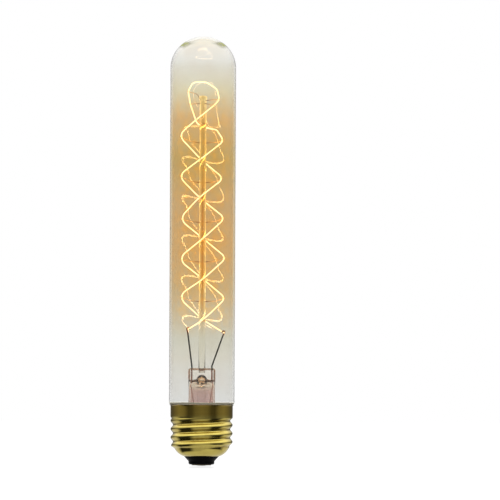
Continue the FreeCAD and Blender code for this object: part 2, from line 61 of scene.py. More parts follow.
# %% Camera
view_width = 215.5 * MM
view_height_middle = 93.1 * MM
view_side = 20.5 * MM
camera_distance = 6.0
camera_roll = math.radians(-0.28)
sensor_width = 36.0
camera_data = bpy.data.cameras.new("camera")
camera_data.sensor_width = sensor_width
camera_data.lens = sensor_width * camera_distance / view_width
camera_data.clip_start = 0.05
camera_data.clip_end = 20.0
camera = bpy.data.objects.new("camera", camera_data)
bpy.context.scene.collection.objects.link(camera)
camera.location = (view_side, -camera_distance, view_height_middle)
camera.rotation_euler = (math.radians(90), camera_roll, 0)
bpy.context.scene.camera = camera
print("lens:", round(camera_data.lens), "mm")

# %% [markdown]
# Every finish is a graph of shader nodes, and so are the surroundings and the table. In the
# Shader Editor the nodes are placed and joined by hand. In a script that takes several lines for
# each, so these helpers add a node, feed it and return what comes out of it. The first ones
# reckon with masks and numbers.

# %% Helpers for numbers in a node graph
def new_node(tree, kind, **values):
    """Adds a node; each value is set on an attribute, or on the input of that name."""
    node = tree.nodes.new(kind)
    for key, value in values.items():
        if hasattr(node, key):
            setattr(node, key, value)
        else:
            node.inputs[key.replace("_", " ")].default_value = value
    return node


def math_node(tree, operation, first, second=None, clamp=False):
    """A Math node fed by sockets or numbers; returns its output."""
    node = new_node(tree, "ShaderNodeMath", operation=operation, use_clamp=clamp)
    for index, value in enumerate((first, second)):
        if value is None:
            continue
        if isinstance(value, (int, float)):
            node.inputs[index].default_value = value
        else:
            tree.links.new(value, node.inputs[index])
    return node.outputs[0]


def times(tree, *factors):
    """The product of masks and numbers."""
    product = factors[0]
    for factor in factors[1:]:
        product = math_node(tree, "MULTIPLY", product, factor)
    return product


def between(tree, value, low, high, first=0.0, second=1.0):
    """Maps a value from one range to another, and stops at its ends."""
    node = new_node(tree, "ShaderNodeMapRange", From_Min=low, From_Max=high, To_Min=first, To_Max=second)
    tree.links.new(value, node.inputs["Value"])
    return node.outputs["Result"]


print("number helpers ready")

# %% [markdown]
# The next ones mix colours and whole shaders, and tell where a point lies. A place comes from
# Object coordinates: they are metres in the lamp's own frame, so a finish can
# change at a true height.

# %% Helpers for colours, shaders and places
def mix_colors(tree, factor, first, second, blend="MIX"):
    """A Mix node for colours; the factor is a socket or a number, and a colour a socket or a tuple."""
    node = new_node(tree, "ShaderNodeMix", data_type="RGBA", blend_type=blend)
    for label, value in (("Factor", factor), ("A", first), ("B", second)):
        if isinstance(value, (int, float)):
            node.inputs[label].default_value = value
        elif isinstance(value, tuple):
            node.inputs[label].default_value = (*value, 1.0)
        else:
            tree.links.new(value, node.inputs[label])
    return node.outputs["Result"]


def color_ramp(tree, factor, stops):
    """A Color Ramp with stops of (position, colour), where one number stands for a grey."""
    node = new_node(tree, "ShaderNodeValToRGB")
    elements = node.color_ramp.elements
    while len(elements) > 1:
        elements.remove(elements[-1])
    for index, (position, color) in enumerate(stops):
        element = elements[0] if index == 0 else elements.new(position)
        element.position = position
        if isinstance(color, (int, float)):
            color = (color, color, color)
        element.color = (*color, 1.0)
    tree.links.new(factor, node.inputs["Fac"])
    return node.outputs["Color"]


def mix_shaders(tree, factor, first, second):
    """A Mix Shader between two shader nodes; returns the node."""
    node = new_node(tree, "ShaderNodeMixShader")
    tree.links.new(factor, node.inputs[0])
    tree.links.new(first.outputs[0], node.inputs[1])
    tree.links.new(second.outputs[0], node.inputs[2])
    return node


def object_place(tree):
    """Where a point lies in the lamp's own frame, in metres."""
    return new_node(tree, "ShaderNodeTexCoord").outputs["Object"]


def split_xyz(tree, place):
    """The X, Y and Z outputs for a place or a direction."""
    node = new_node(tree, "ShaderNodeSeparateXYZ")
    tree.links.new(place, node.inputs[0])
    return node.outputs


def length_of(tree, place):
    """How far a place lies from the origin."""
    node = new_node(tree, "ShaderNodeVectorMath", operation="LENGTH")
    tree.links.new(place, node.inputs[0])
    return node.outputs["Value"]


print("colour and place helpers ready")

# %% [markdown]
# Glass and metal look like what stands around them, so the surroundings come first. Real
# screens could be modelled, but they would stand in the way of other views, so they are drawn in
# the World. Rays that come from the camera, or through glass, see plain white.
# Mirror-like rays see a white studio with two dark screens beside the camera, which draw
# the dark strokes on polished brass. All other rays bring the plain light.

# %% Surroundings
def seen_ray(tree):
    """1 for a ray from the camera or through glass."""
    path = new_node(tree, "ShaderNodeLightPath")
    return math_node(tree, "MAXIMUM", path.outputs["Is Camera Ray"], path.outputs["Is Transmission Ray"])


def side_share(tree, place):
    """How far round from the front a place or direction lies: 0 in front and 1 behind."""
    parts = split_xyz(tree, place)
    angle = math_node(tree, "ARCTAN2", parts["X"], times(tree, parts["Y"], -1.0))
    return math_node(tree, "DIVIDE", math_node(tree, "ABSOLUTE", angle), math.pi)


def screens_around(tree, place):
    """The grey that mirrors see around the set, level with the bulb."""
    return color_ramp(
        tree,
        side_share(tree, place),
        [
            (0.0, 0.24),
            (0.12, 0.19),
            (0.20, 0.09),
            (0.28, 0.08),
            (0.38, 0.24),
            (0.50, 0.30),
            (0.75, 0.12),
            (0.93, 0.12),
            (0.96, 1.0),
        ],
    )


world = bpy.data.worlds.new("studio")
bpy.context.scene.world = world
world.use_nodes = True
tree = world.node_tree
tree.nodes.clear()
direction = new_node(tree, "ShaderNodeTexCoord").outputs["Generated"]
overhead = between(tree, split_xyz(tree, direction)["Z"], 0.12, 0.55)
studio = mix_colors(tree, overhead, screens_around(tree, direction), (1.45, 1.45, 1.45))
in_mirrors = new_node(tree, "ShaderNodeBackground", Strength=1.0)
tree.links.new(studio, in_mirrors.inputs["Color"])
as_light = new_node(tree, "ShaderNodeBackground", Color=(1.0, 1.0, 1.0, 1.0), Strength=0.75)
as_seen = new_node(tree, "ShaderNodeBackground", Color=(1.0, 1.0, 1.0, 1.0), Strength=1.0)
glossy = new_node(tree, "ShaderNodeLightPath").outputs["Is Glossy Ray"]
unseen = mix_shaders(tree, glossy, as_light, in_mirrors)
whole = mix_shaders(tree, seen_ray(tree), unseen, as_seen)
world_output = new_node(tree, "ShaderNodeOutputWorld")
tree.links.new(whole.outputs[0], world_output.inputs["Surface"])
print("world nodes:", len(tree.nodes))

# %% [markdown]
# The floor is a plain white table. It glows for rays from the camera or through glass, so it
# melts into the background, which a lit table never quite does. A little plain white on top lets
# the bulb's shadow show, and a little gloss gives the faint reflection under the contact.
# Polished brass mirrors the table too: white close by, with painted shade on both sides a little
# further out, and further off as dark as the screens that stand round the set.

# %% Floor
def mirror_ray(tree):
    """1 for a ray that was mirrored last, and 0 for one that is seen straight or through glass."""
    path = new_node(tree, "ShaderNodeLightPath")
    passed = path.outputs["Is Transmission Ray"]
    return math_node(tree, "SUBTRACT", path.outputs["Is Glossy Ray"], passed, clamp=True)


def painted_dark_sectors(tree, place, left_end):
    """The table as mirrors see it close to the bulb: white, with painted shade on the sides."""
    return color_ramp(
        tree,
        side_share(tree, place),
        [
            (0.0, 0.55),
            (0.13, 0.46),
            (0.22, 0.03),
            (left_end - 0.03, 0.02),
            (left_end + 0.08, 0.75),
            (1.0, 0.9),
        ],
    )


bpy.ops.mesh.primitive_plane_add(size=3.0, location=(0, 0, 0))
floor = bpy.context.object
floor.name = "floor"
floor_finish = bpy.data.materials.new("floor")
floor_finish.use_nodes = True
tree = floor_finish.node_tree
tree.nodes.clear()
spot = object_place(tree)
from_foot = length_of(tree, spot)
on_right = between(tree, split_xyz(tree, spot)["X"], -2.0 * MM, 4.0 * MM)
patch_reach = math_node(tree, "ADD", times(tree, on_right, 4.0 * MM), 11.5 * MM)
past_patch = math_node(tree, "SUBTRACT", from_foot, patch_reach)
in_patch = between(tree, past_patch, 0.0, 2.0 * MM, 1.0, 0.0)
# painted shade for mirrors: each side of the table near the bulb is dark
by_side = mix_colors(tree, on_right, painted_dark_sectors(tree, spot, 0.48), painted_dark_sectors(tree, spot, 0.42))
near_table = mix_colors(tree, in_patch, by_side, (0.7, 0.7, 0.7))
close = between(tree, from_foot, 30.0 * MM, 100.0 * MM, 1.0, 0.0)
in_mirrors = mix_colors(tree, close, screens_around(tree, spot), near_table)
mirrored = mirror_ray(tree)
glow = new_node(tree, "ShaderNodeEmission")
tree.links.new(mix_colors(tree, mirrored, (0.93, 0.93, 0.93), in_mirrors), glow.inputs["Color"])
glossy = new_node(tree, "ShaderNodeLightPath").outputs["Is Glossy Ray"]
tree.links.new(math_node(tree, "MAXIMUM", seen_ray(tree), glossy), glow.inputs["Strength"])
chalk = new_node(tree, "ShaderNodeBsdfDiffuse", Color=(0.16, 0.16, 0.16, 1.0))
lit = new_node(tree, "ShaderNodeAddShader")
tree.links.new(glow.outputs[0], lit.inputs[0])
tree.links.new(chalk.outputs[0], lit.inputs[1])
gloss = new_node(tree, "ShaderNodeBsdfGlossy", Color=(1.0, 1.0, 1.0, 1.0), Roughness=0.08)
near_foot = between(tree, from_foot, 50.0 * MM, 110.0 * MM, 0.26, 0.0)
table = mix_shaders(tree, mirrored, mix_shaders(tree, near_foot, lit, gloss), glow)
floor_output = new_node(tree, "ShaderNodeOutputMaterial")
tree.links.new(table.outputs[0], floor_output.inputs["Surface"])
floor.data.materials.append(floor_finish)
bpy.ops.object.select_all(action="DESELECT")
print("floor nodes:", len(tree.nodes))

# %% [markdown]
# Two large soft lamps stand left and right in front, and a smaller one above. Area lamps are used
# because their shadows are soft. Mirrors and glass don't see them: their bright strokes come
# from the surroundings above, which are easier to shape.

# %% Lamps
def soft_lamp(name, place, target, size, power):
    """A rectangular lamp that is aimed at a target; its size is (width, height)."""
    data = bpy.data.lights.new(name, "AREA")
    data.shape = "RECTANGLE"
    data.size, data.size_y = size
    data.energy = power
    lamp = bpy.data.objects.new(name, data)
    bpy.context.scene.collection.objects.link(lamp)
    lamp.location = place
    aim = Vector(target) - Vector(place)
    lamp.rotation_euler = aim.to_track_quat("-Z", "Y").to_euler()
    lamp.visible_glossy = False
    lamp.visible_transmission = False


middle = (0.0, 0.0, 0.09)
soft_lamp("lamp_left", (-0.55, -0.35, 0.25), middle, (0.25, 0.6), 2.5)
soft_lamp("lamp_right", (0.6, -0.3, 0.2), middle, (0.2, 0.6), 2.0)
soft_lamp("lamp_above", (0.05, -0.25, 0.75), middle, (0.5, 0.3), 2.5)
print("lamps:", len(bpy.data.lights))

# %% [markdown]
# Nearly every piece of a bulb is round: blown, drawn, rolled or turned. A glassblower turns the
# work and changes its width as it grows, and this helper does the same. It extrudes a ring of
# points upwards, step by step, and scales each new ring about its own centre. Spin would make a
# round piece too, but here a ring can also be flattened, as the press is, or set off to one
# side, as the rolled thread is.

# %% A helper that raises a piece ring by ring
def pick_vertices(piece, wanted):
    """Selects the vertices for which wanted(vertex) is true, and goes into edit mode."""
    bpy.ops.object.mode_set(mode="EDIT")
    bpy.ops.mesh.select_mode(type="VERT")
    bpy.ops.mesh.select_all(action="DESELECT")
    bpy.ops.object.mode_set(mode="OBJECT")
    for vertex in piece.data.vertices:
        vertex.select = wanted(vertex)
    bpy.ops.object.mode_set(mode="EDIT")


def close_tip():
    """Closes the selected ring with a fan of triangles to its middle."""
    bpy.ops.mesh.extrude_region_move()
    bpy.ops.mesh.merge(type="CENTER")


def clean_mesh(doubles_within):
    """From edit mode: merges doubles, turns the faces outwards and goes back to object mode."""
    bpy.ops.mesh.select_all(action="SELECT")
    bpy.ops.mesh.remove_doubles(threshold=doubles_within)
    bpy.ops.mesh.normals_make_consistent(inside=False)
    bpy.ops.object.mode_set(mode="OBJECT")


def raise_rings(name, rings, segments=96, close_start=False, close_end=False):
    """Makes a piece from rings of (half width, half depth, shift x, shift y, height) in mm."""
    half_width, half_depth, shift_x, shift_y, height = rings[0]
    bpy.ops.object.select_all(action="DESELECT")
    bpy.ops.mesh.primitive_circle_add(vertices=segments, radius=MM, location=(0, 0, 0))
    piece = bpy.context.object
    piece.name = name
    piece.data.name = name
    bpy.ops.object.mode_set(mode="EDIT")
    bpy.ops.mesh.select_all(action="SELECT")
    bpy.ops.transform.resize(value=(half_width, half_depth, 1), center_override=(0, 0, 0))
    bpy.ops.transform.translate(value=(shift_x * MM, shift_y * MM, height * MM))
    for ring in rings[1:]:
        step = [(new - old) * MM for new, old in zip(ring[2:], (shift_x, shift_y, height))]
        bpy.ops.mesh.extrude_region_move(TRANSFORM_OT_translate={"value": step})
        growth = (ring[0] / half_width, ring[1] / half_depth, 1)
        if abs(growth[0] - 1) + abs(growth[1] - 1) > 1e-9:
            centre = [place * MM for place in ring[2:]]
            bpy.ops.transform.resize(value=growth, center_override=centre)
        half_width, half_depth, shift_x, shift_y, height = ring
    if close_end:
        close_tip()
    if close_start:
        pick_vertices(piece, lambda vertex: vertex.index < segments)
        close_tip()
    clean_mesh(1e-7)
    bpy.ops.object.shade_smooth()
    return piece


print("ring helper ready")

# %% [markdown]
# An outline is a list of (radius, height) points in millimetres, and a turned piece is that
# outline taken round the axis. Arcs and straight stretches are worked out, so a curve is as
# smooth as its number of steps. A finished piece is handed over with its place in the frame
# and the solid that it stands for.

# %% Helpers for outlines, walls and handing over
def turned(outline):
    """The rings of a round piece from its outline of (radius, height)."""
    return [(radius, radius, 0, 0, height) for radius, height in outline]


def arc(centre_radius, centre_height, radius, start, end, steps):
    """(radius, height) points of an arc. Angles are in degrees from outwards to upwards."""
    points = []
    for step in range(steps + 1):
        turn = math.radians(start + (end - start) * step / steps)
        points.append((centre_radius + radius * math.cos(turn), centre_height + radius * math.sin(turn)))
    return points


def straight_up(radius, bottom, top, steps):
    """(radius, height) points straight up to the top, without the one at the bottom."""
    return [(radius, bottom + (top - bottom) * step / steps) for step in range(1, steps + 1)]


def add_wall(piece, thickness):
    """Gives an open skin its wall, inwards from the outside."""
    wall = piece.modifiers.new("wall", "SOLIDIFY")
    wall.thickness = thickness * MM
    wall.offset = -1.0
    wall.use_even_offset = True
    bpy.ops.object.modifier_apply(modifier="wall")
    bpy.ops.object.shade_smooth()


def mesh_ends(piece):
    """The lowest and the highest vertex of a piece."""
    places = sorted((vertex.co for vertex in piece.data.vertices), key=lambda place: place.z)
    return places[0], places[-1]


def hand_over(piece, node):
    """Puts a finished piece in the place of its construction solid."""
    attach(piece, "root")
    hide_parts(node)
    bpy.ops.object.select_all(action="DESELECT")
    low, high = [corner.z / MM for corner in mesh_ends(piece)]
    print(piece.name, len(piece.data.polygons), "faces, from", round(low, 2), "to", round(high, 2))


print("outline helpers ready")

# %% [markdown]
# The bulb is a glass tube of even wall, blown shut at the top and drawn in at the neck where
# it is fused to the stem. Two skins, one inside the other, would have to be kept apart by hand,
# so its outline is raised as one skin, and a Solidify modifier then gives the skin its wall
# inwards.

# %% The glass bulb
bulb_radius = 14.15
bulb_wall = 0.9
bulb_top = 185.0
dome_height = 13.6
dome_steps = 30
seal_height = 17.94
neck_radius = 10.8
neck_straight_top = 21.0
neck_top = 23.494
neck_round = 3.0
shoulder_top = 27.441
shoulder_turn = 80.65
shoulder_radius = 1.0
outline = [(neck_radius, seal_height), (neck_radius, neck_straight_top)]
outline += arc(neck_radius + neck_round, neck_top, neck_round, 180, 180 - shoulder_turn, 12)
outline += arc(bulb_radius - shoulder_radius, shoulder_top, shoulder_radius, -shoulder_turn, 0, 12)[1:]
dome_bottom = bulb_top - dome_height
outline += straight_up(bulb_radius, shoulder_top, dome_bottom, 12)
for step in range(1, dome_steps):
    turn = math.radians(90 * step / dome_steps)
    outline.append((bulb_radius * math.cos(turn), dome_bottom + dome_height * math.sin(turn)))
glass_bulb = raise_rings("glass_bulb", turned(outline), segments=128, close_end=True)

# closing the dome leaves its tip at the last ring's height, so it is lifted to the top
pick_vertices(glass_bulb, lambda vertex: math.hypot(vertex.co.x, vertex.co.y) < 1e-6)
lift = bulb_top * MM - mesh_ends(glass_bulb)[1].z
bpy.ops.transform.translate(value=(0, 0, lift))
bpy.ops.object.mode_set(mode="OBJECT")
add_wall(glass_bulb, bulb_wall)
hand_over(glass_bulb, "glass_envelope")

# %% [markdown]
# The cap's shell is thin brass, drawn to a cup and rolled between two dies that press
# the thread into it. A profile swept along a helix would need joining to the cup at both ends.
# Cut level anywhere, though, the thread is still a circle: only its centre
# goes round the axis as it climbs. So each ring here is a circle set off to one side,
# and the set-off fades at both ends of the thread.

# %% The screw shell
shell_wall = 0.25
root_radius = 12.1
collar_radius = 13.2
thread_depth = 1.05
thread_pitch = 3.629
thread_bottom = 7.333
thread_top = 21.341
thread_phase = 3.06
thread_fade = 1.4
thread_steps = 104
bottom_round = 6.5
shell_bottom = 4.0
hole_radius = 7.5
collar_top = 25.841
rim_height = 26.441
rim_radius = 13.8
rim_steps = 6


def smooth_step(share):
    """Goes from 0 to 1 without a corner at either end."""
    share = min(max(share, 0), 1)
    return share * share * (3 - 2 * share)


def thread_ring(height):
    """One level ring of the thread, with its fading at both ends."""
    below = smooth_step((height - thread_bottom) / thread_fade)
    above = smooth_step((thread_top - height) / thread_fade)
    swing = thread_depth / 2 * min(below, above)
    drop = max(shell_bottom + bottom_round - height, 0)
    root = root_radius - bottom_round + math.sqrt(bottom_round**2 - drop**2)
    radius = root + thread_depth / 2 * below
    if above < 1:
        radius = collar_radius - (collar_radius - root_radius - thread_depth / 2) * above
    turn = 2 * math.pi * (height - thread_bottom - thread_phase) / thread_pitch
    return (radius, radius, swing * math.cos(turn), swing * math.sin(turn), height)


round_centre = (root_radius - bottom_round, shell_bottom + bottom_round)
round_end = math.degrees(math.asin((round_centre[1] - thread_bottom) / bottom_round))
round_start = math.degrees(math.acos((hole_radius - round_centre[0]) / bottom_round))
rings = turned(arc(*round_centre, bottom_round, -round_start, -round_end, 14)[:-1])
for step in range(thread_steps + 1):
    rings.append(thread_ring(thread_bottom + (thread_top - thread_bottom) * step / thread_steps))
rings += turned([(collar_radius, height) for height in (22.5, 24.2, collar_top)])
for step in range(1, rim_steps + 1):
    share = step / rim_steps
    flare = collar_radius + (rim_radius - collar_radius) * share**2
    rings += turned([(flare, collar_top + (rim_height - collar_top) * share)])
brass_shell = raise_rings("brass_shell", rings, segments=112)
add_wall(brass_shell, shell_wall)
hand_over(brass_shell, "screw_shell")

# %% [markdown]
# Black glass is poured into the bottom of the shell. Its foot stands out below the brass, and
# its edge is rounded by the mould. It could be a cone with bevels, but its hidden side fits the
# shell's round bottom, so one outline makes it all: from the middle of its top,
# round the outside and back under to the eyelet's hole.

# %% The black insulator
eyelet_radius = 1.3
insulator_top = 7.0
insulator_bottom = 0.55
side_radius = 7.48
foot_radius = 5.6
foot_edge = 0.75
play = 0.02
seat_start = -34.1
seat_end = -72.0
inner_round = bottom_round - shell_wall - play
outline = [(eyelet_radius, insulator_top), (6.0, insulator_top)]
outline += arc(*round_centre, inner_round, seat_start, seat_end, 10)
outline += [(side_radius, 4.5), (side_radius, shell_bottom + 0.1), (7.4, shell_bottom - 0.08)]
outline += [(6.5, 2.95), (5.72, 2.08), (foot_radius, 1.85), (foot_radius, 1.5)]
outline += arc(foot_radius - foot_edge, insulator_bottom + foot_edge, foot_edge, 0, -90, 8)
outline += [(3.0, insulator_bottom), (eyelet_radius, insulator_bottom), (eyelet_radius, insulator_top)]
black_insulator = raise_rings("black_insulator", turned(outline), segments=96)
bpy.ops.object.shade_smooth_by_angle(angle=math.radians(35))
hand_over(black_insulator, "insulator")

# %% [markdown]
# The stem is a glass tube, flared at its foot and squeezed flat at its top while it was soft.
# The flat part, the press, grips the wires. A round tube with a box joined on would show a
# hard line, and hot glass has none there. So the rings start inside, at the end of the hollow,
# run down to the rim and come back up outside, growing flat on the way. They close inside
# the block that the next cell adds.

# %% The stem's tube and flare
stem_radius = 5.66
stem_wall = 0.9
press_half_width = 5.85
press_half_depth = 1.9
flare_height = 12.6
flare_lip = 1.2
flat_start = 32.54
flat_end = 38.04
hollow_top = 36.34
hollow_round = 1.3
hollow_half_depth = 2.2
hollow_tip = (2.6, 0.4)
hollow_turn = 84
hollow_steps = 7


def flattening(start, end, radius, width, depth, steps):
    """Rings that go over from a round tube to a flat one."""
    made = []
    for step in range(1, steps + 1):
        share = smooth_step(step / steps)
        height = start + (end - start) * step / steps
        made.append((radius + (width - radius) * share, radius + (depth - radius) * share, 0, 0, height))
    return made


def trumpet(outer, inner, bottom, top, steps):
    """A flare's outline, from its wide mouth up to the tube."""
    points = []
    for step in range(steps + 1):
        turn = math.radians(90 * step / steps)
        points.append((outer - (outer - inner) * math.sin(turn), top - (top - bottom) * math.cos(turn)))
    return points


inner_radius = stem_radius - stem_wall
mouth_height = seal_height - stem_wall
flare_top = seal_height + flare_height
hollow_flat = hollow_top - hollow_round
inside = turned(trumpet(neck_radius - stem_wall, inner_radius, mouth_height, flare_top, 14))
inside += flattening(flat_start, hollow_flat, inner_radius, inner_radius, hollow_half_depth, 10)
for step in range(1, hollow_steps + 1):
    turn = math.radians(hollow_turn * step / hollow_steps)
    half_width = hollow_tip[0] + (inner_radius - hollow_tip[0]) * math.cos(turn)
    half_depth = hollow_tip[1] + (hollow_half_depth - hollow_tip[1]) * math.cos(turn)
    inside.append((half_width, half_depth, 0, 0, hollow_flat + hollow_round * math.sin(turn)))
outside = turned([(neck_radius, mouth_height), (neck_radius, seal_height)])
outside += turned(trumpet(neck_radius - flare_lip, stem_radius, seal_height, flare_top, 14))
outside += turned([(stem_radius, flat_start)])
outside += flattening(flat_start, flat_end, stem_radius, press_half_width, press_half_depth, 12)
outside += [(5.0, 1.6, 0, 0, 38.6), (3.0, 1.0, 0, 0, 38.9)]
stem = raise_rings("stem", inside[::-1] + outside, segments=96, close_start=True, close_end=True)
print("stem rings:", len(inside) + len(outside))

# %% [markdown]
# Flat jaws closed on the soft glass and left a block with rounded edges. A bead stands in front of
# it, where air was blown through to open a hole into the tube. Such forms run into each other
# without a pattern, so a block, a bead and a ball for the hole are joined to the stem or cut out
# of it by Boolean modifiers, whose exact solver leaves a closed skin.

# %% The stem's press, bead and air hole
press_bottom = 36.5
press_top = 42.04
press_edge = 1.1
bead_height = 36.94
bead_radius = 2.3
bead_forward = 0.75
air_hole_radius = 1.2
air_hole_forward = 3.2
press_size = (2 * press_half_width * MM, 2 * press_half_depth * MM, (press_top - press_bottom) * MM)


def glass_ball(radius, forward, segments, ring_count):
    """A ball at the bead's height, so far in front of the axis."""
    bpy.ops.mesh.primitive_uv_sphere_add(
        segments=segments,
        ring_count=ring_count,
        radius=radius * MM,
        location=(0, -forward * MM, bead_height * MM),
    )
    bpy.ops.object.transform_apply(location=True, rotation=True, scale=True)
    return bpy.context.object


bpy.ops.mesh.primitive_cube_add(size=1.0, location=(0, 0, (press_top + press_bottom) / 2 * MM))
press = bpy.context.object
press.scale = press_size
bpy.ops.object.transform_apply(location=True, rotation=True, scale=True)
bpy.ops.object.mode_set(mode="EDIT")
bpy.ops.mesh.select_all(action="SELECT")
bpy.ops.mesh.bevel(offset=press_edge * MM, segments=8)
bpy.ops.object.mode_set(mode="OBJECT")
bead = glass_ball(bead_radius, bead_forward, 48, 32)
air_hole = glass_ball(air_hole_radius, air_hole_forward, 32, 24)
bpy.ops.object.select_all(action="DESELECT")
bpy.context.view_layer.objects.active = stem
stem.select_set(True)
for other, operation in ((press, "UNION"), (bead, "UNION"), (air_hole, "DIFFERENCE")):
    join = stem.modifiers.new("join", "BOOLEAN")
    join.object = other
    join.operation = operation
    join.solver = "EXACT"
    bpy.ops.object.modifier_apply(modifier="join")
    bpy.data.objects.remove(other)
bpy.ops.object.mode_set(mode="EDIT")
clean_mesh(1e-6)
bpy.ops.object.shade_smooth_by_angle(angle=math.radians(40))
hand_over(stem, "stem_glass")

# %% [markdown]
# The rod is drawn glass. Its upper end was melted in a flame, and surface tension drew it into
# a button that holds the two top anchors. A cylinder with a ball on it would show the seam, so
# the button's round edge is an arc of the rod's own outline.

# %% The rod
rod_radius = 1.45
rod_bottom = 40.04
rod_straight_bottom = 40.24
rod_straight_top = 157.2
button_radius = 1.8
button_top = 159.5
button_edge = 0.85
outline = [(rod_radius * 0.6, rod_bottom), (rod_radius, rod_straight_bottom)]
outline += straight_up(rod_radius, rod_straight_bottom, rod_straight_top, 8)
outline += [(1.5, 157.5), (1.7, 157.85)]
outline += arc(button_radius - button_edge, button_top - button_edge, button_edge, 0, 84, 10)
glass_rod = raise_rings("glass_rod", turned(outline), segments=48, close_start=True, close_end=True)
hand_over(glass_rod, "arbor_rod")

# %% [markdown]
# Through the exhaust tube the bulb was pumped, and then its lower end was melted shut. A
# thin tube hardly bends light, and two true walls drew dark lines here, so it is
# one closed skin, and its finish gets a low index of refraction.

# %% The exhaust tube
exhaust_radius = 2.0
exhaust_tip = 10.0
tip_height = 4.0
tip_steps = 9
below_hollow_top = 0.1
exhaust_top = hollow_top - below_hollow_top
outline = []
for step in range(1, tip_steps + 1):
    turn = math.radians(90 * step / tip_steps)
    outline.append((exhaust_radius * math.sin(turn), exhaust_tip + tip_height * (1 - math.cos(turn))))
outline += straight_up(exhaust_radius, exhaust_tip + tip_height, exhaust_top, 6)
exhaust = raise_rings("exhaust", turned(outline), segments=48, close_start=True, close_end=True)
hand_over(exhaust, "exhaust_tube")

# %% [markdown]
# Two effects return in several finishes, so each is a node group. Tarnish is a slow,
# blotchy change of tone, and Streaks are the fine lines that rolling, drawing or turning leaves
# round a metal piece. Both give masks only, and each finish decides what to do with them.

# %% Effects shared by the finishes
def new_group(name, inputs):
    """A shader node group with float inputs of these names and values, and a Mask output."""
    group = bpy.data.node_groups.new(name, "ShaderNodeTree")
    for label, value in inputs.items():
        socket = group.interface.new_socket(label, in_out="INPUT", socket_type="NodeSocketFloat")
        socket.default_value = value
    group.interface.new_socket("Mask", in_out="OUTPUT", socket_type="NodeSocketFloat")
    return group, group.nodes.new("NodeGroupInput"), group.nodes.new("NodeGroupOutput")


tarnish, entry, result = new_group("tarnish", {"Scale": 250.0, "Low": 0.4, "High": 0.65})
blotches = new_node(tarnish, "ShaderNodeTexNoise", Detail=5.0, Roughness=0.6)
tarnish.links.new(object_place(tarnish), blotches.inputs["Vector"])
tarnish.links.new(entry.outputs["Scale"], blotches.inputs["Scale"])
spread = new_node(tarnish, "ShaderNodeMapRange")
tarnish.links.new(blotches.outputs["Fac"], spread.inputs["Value"])
tarnish.links.new(entry.outputs["Low"], spread.inputs["From Min"])
tarnish.links.new(entry.outputs["High"], spread.inputs["From Max"])
tarnish.links.new(spread.outputs["Result"], result.inputs["Mask"])

streaks, entry, result = new_group("streaks", {"Scale": 400.0, "Length": 8.0})
parts = split_xyz(streaks, object_place(streaks))
squeezed = new_node(streaks, "ShaderNodeCombineXYZ")
for axis in ("X", "Y"):
    shrunk = math_node(streaks, "DIVIDE", parts[axis], entry.outputs["Length"])
    streaks.links.new(shrunk, squeezed.inputs[axis])
streaks.links.new(parts["Z"], squeezed.inputs["Z"])
lines = new_node(streaks, "ShaderNodeTexNoise", Detail=3.0, Roughness=0.55)
streaks.links.new(squeezed.outputs[0], lines.inputs["Vector"])
streaks.links.new(entry.outputs["Scale"], lines.inputs["Scale"])
streaks.links.new(lines.outputs["Fac"], result.inputs["Mask"])
print("groups:", [group.name for group in bpy.data.node_groups])

# %% [markdown]
# A finish is a Principled shader with plain values, and some of its inputs are fed by masks.
# Where on the lamp a finish changes follows the height or the distance from the axis. A
# painted picture wrapped round the piece could do it too, but it would have a seam.

# %% Helpers for finishes
def use_group(tree, group, **values):
    """Places a shared effect in a finish, with its own values; returns its mask."""
    node = new_node(tree, "ShaderNodeGroup")
    node.node_tree = group
    for label, value in values.items():
        node.inputs[label].default_value = value
    return node.outputs["Mask"]


def graded(tree, mask, at_zero, at_one):
    """A number that follows a mask."""
    return between(tree, mask, 0.0, 1.0, at_zero, at_one)


def new_finish(name, **values):
    """A material and its Principled shader's plain values; returns it, its tree and the shader."""
    finish = bpy.data.materials.new(name)
    finish.use_nodes = True
    shader = finish.node_tree.nodes["Principled BSDF"]
    for label, value in values.items():
        shader.inputs[label.replace("_", " ")].default_value = value
    print("finish:", name)
    return finish, finish.node_tree, shader


def clear_glass(name, ior, **values):
    """A glass finish with no colour yet."""
    return new_finish(name, Transmission_Weight=1.0, Roughness=0.0, IOR=ior, **values)


def feed(tree, shader, **sockets):
    """Links each socket to the shader's input of that name."""
    for label, socket in sockets.items():
        tree.links.new(socket, shader.inputs[label.replace("_", " ")])


def add_bump(tree, shader, height, distance, strength):
    """Raises and sinks the surface by a mask; distance is in millimetres."""
    bump = new_node(tree, "ShaderNodeBump", Strength=strength, Distance=distance * MM)
    tree.links.new(height, bump.inputs["Height"])
    tree.links.new(bump.outputs["Normal"], shader.inputs["Normal"])


def edge_share(tree):
    """0 where the surface faces the eye and 1 at its edges."""
    return new_node(tree, "ShaderNodeLayerWeight", Blend=0.5).outputs["Facing"]


def height_share(tree, low, high):
    """How far up the lamp a point lies between two heights in millimetres, from 0 to 1."""
    above = math_node(tree, "SUBTRACT", split_xyz(tree, object_place(tree))["Z"], low * MM)
    return math_node(tree, "DIVIDE", above, (high - low) * MM, clamp=True)


def axis_distance(tree):
    """How far a point lies from the lamp's axis, in metres."""
    flat = new_node(tree, "ShaderNodeVectorMath", operation="MULTIPLY")
    tree.links.new(object_place(tree), flat.inputs[0])
    flat.inputs[1].default_value = (1.0, 1.0, 0.0)
    return length_of(tree, flat.outputs[0])


print("finish helpers ready")
